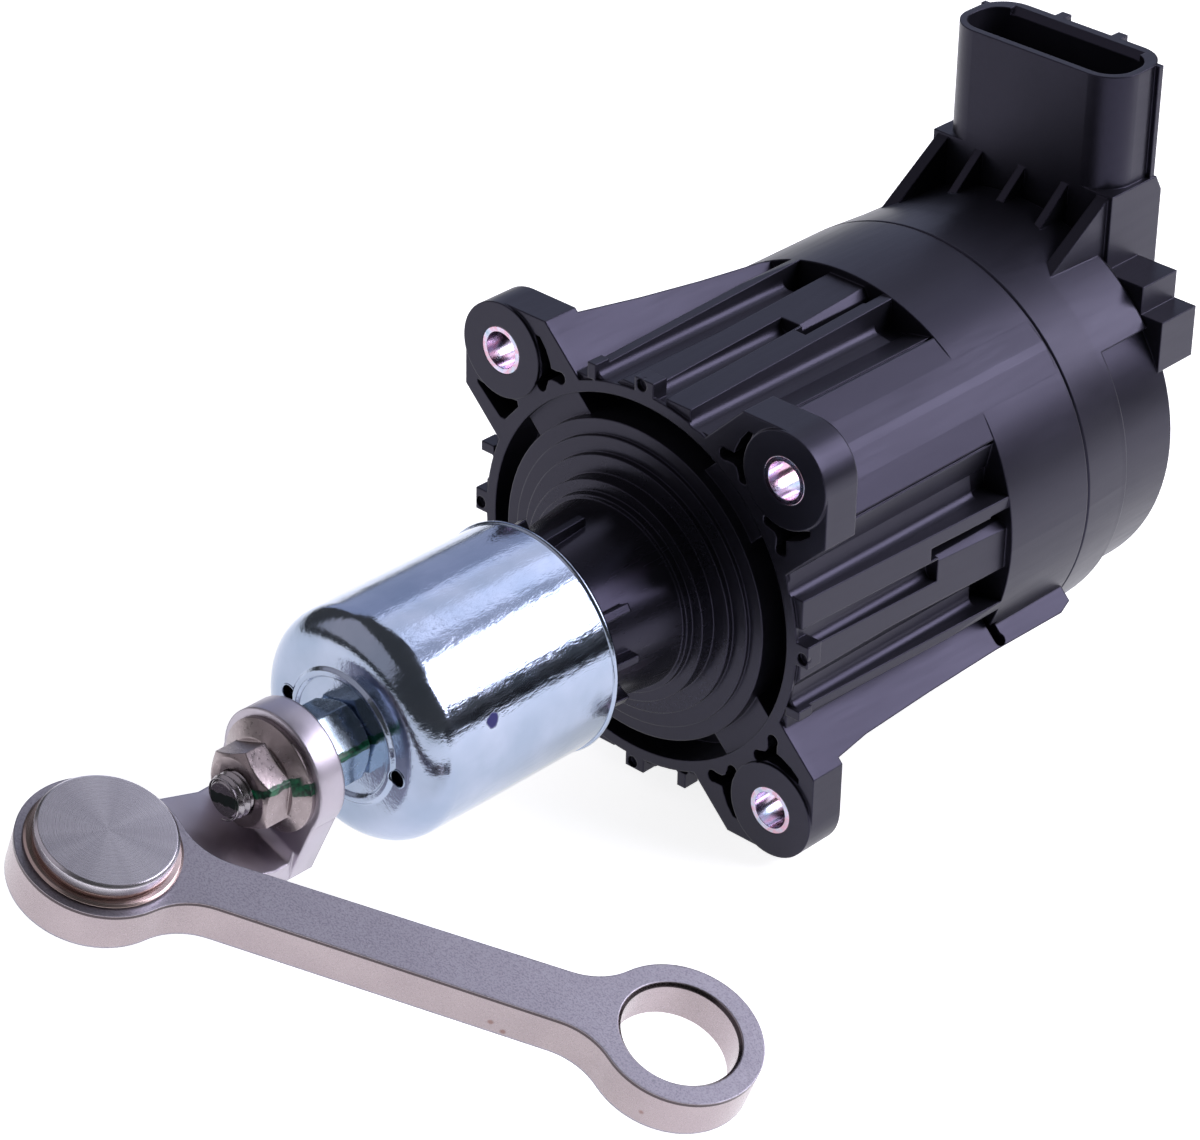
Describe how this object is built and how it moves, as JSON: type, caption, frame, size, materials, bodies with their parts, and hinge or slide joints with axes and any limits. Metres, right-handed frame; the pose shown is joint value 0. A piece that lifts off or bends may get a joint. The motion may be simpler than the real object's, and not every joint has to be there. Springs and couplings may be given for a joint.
{
  "type": "turbo actuator",
  "caption": "Electric turbocharger actuator: black ribbed housing with mounting ears and a plug socket, a sliding rod under a silver cup, and a pivoting drive link.",
  "frame": {"origin": "on the rod axis, in the plane of the front faces of the mounting bosses", "axes": "+Y along the rod towards the rear cover, so the rod end points to -Y; +Z towards the plug socket's mouth; +X to the right of someone who looks along +Y"},
  "size_m": [0.0985, 0.1979, 0.0834],
  "materials": {
    "black_plastic": "satin moulded, glass filled",
    "zinc_steel": "bright zinc plate, smooth",
    "nickel_steel": "nickel plate over blasted steel",
    "screw_steel": "plain turned steel",
    "bushing_zinc": "zinc plate with a faint yellow and violet passivation",
    "bronze": "sintered bronze, oiled",
    "bearing_steel": "ground",
    "core_steel": "stacked sheet, raw",
    "copper_wire": "enamelled winding",
    "magnet_dark": "sintered magnet, coated",
    "board_green": "glass epoxy",
    "sensor_black": "moulded",
    "tin_contact": "tin plate",
    "seal_rubber": "moulded",
    "bush_polymer": "self lubricating polymer"
  },
  "bodies": {
    "body": {"housing": "black_plastic", "bushing_upper_left": "bushing_zinc", "bushing_upper_right": "bushing_zinc", "bushing_lower_right": "bushing_zinc", "rear_cover": "black_plastic", "connector_pins": "tin_contact", "cover_seal": "seal_rubber", "guide_bush": "bush_polymer", "rod_seal": "seal_rubber", "front_bearing": "bronze", "bearing_carrier": "core_steel", "bearing_outer_race": "bearing_steel", "bearing_balls": "bearing_steel", "stator_core": "core_steel", "stator_windings": "copper_wire", "motor_leads": "copper_wire", "circuit_board": "board_green", "hall_sensor": "sensor_black"},
    "rotor": {"rotor_sleeve": "screw_steel", "rotor_magnet": "magnet_dark", "drive_nut": "bronze", "bearing_inner_race": "bearing_steel"},
    "rod": {"rod_screw": "nickel_steel", "magnet_holder": "sensor_black", "sensor_magnet": "magnet_dark", "cup": "zinc_steel", "lock_nut": "zinc_steel", "bracket": "nickel_steel", "flange_nut": "nickel_steel", "link_pin": "nickel_steel"},
    "link": {"link_arm": "nickel_steel", "pivot_bush": "bush_polymer"}
  },
  "joints": [
    {"name": "rotor_spin", "type": "hinge", "parent": "body", "child": "rotor", "pos_m": [0, 0.03, 0], "axis": [0, 1, 0], "range_deg": [-451, 811]},
    {"name": "rod_slide", "type": "slide", "parent": "body", "child": "rod", "axis": [0, 1, 0], "range_m": [-0.005, 0.009]},
    {"name": "link_pivot", "type": "hinge", "parent": "rod", "child": "link", "pos_m": [0, -0.0944, 0], "axis": [0.3518, 0, 0.9361], "range_deg": [-35, 20]}
  ],
  "couplings": [
    {"joint": "rotor_spin", "follows": "rod_slide", "rad_per_m": 1570.8}
  ]
}
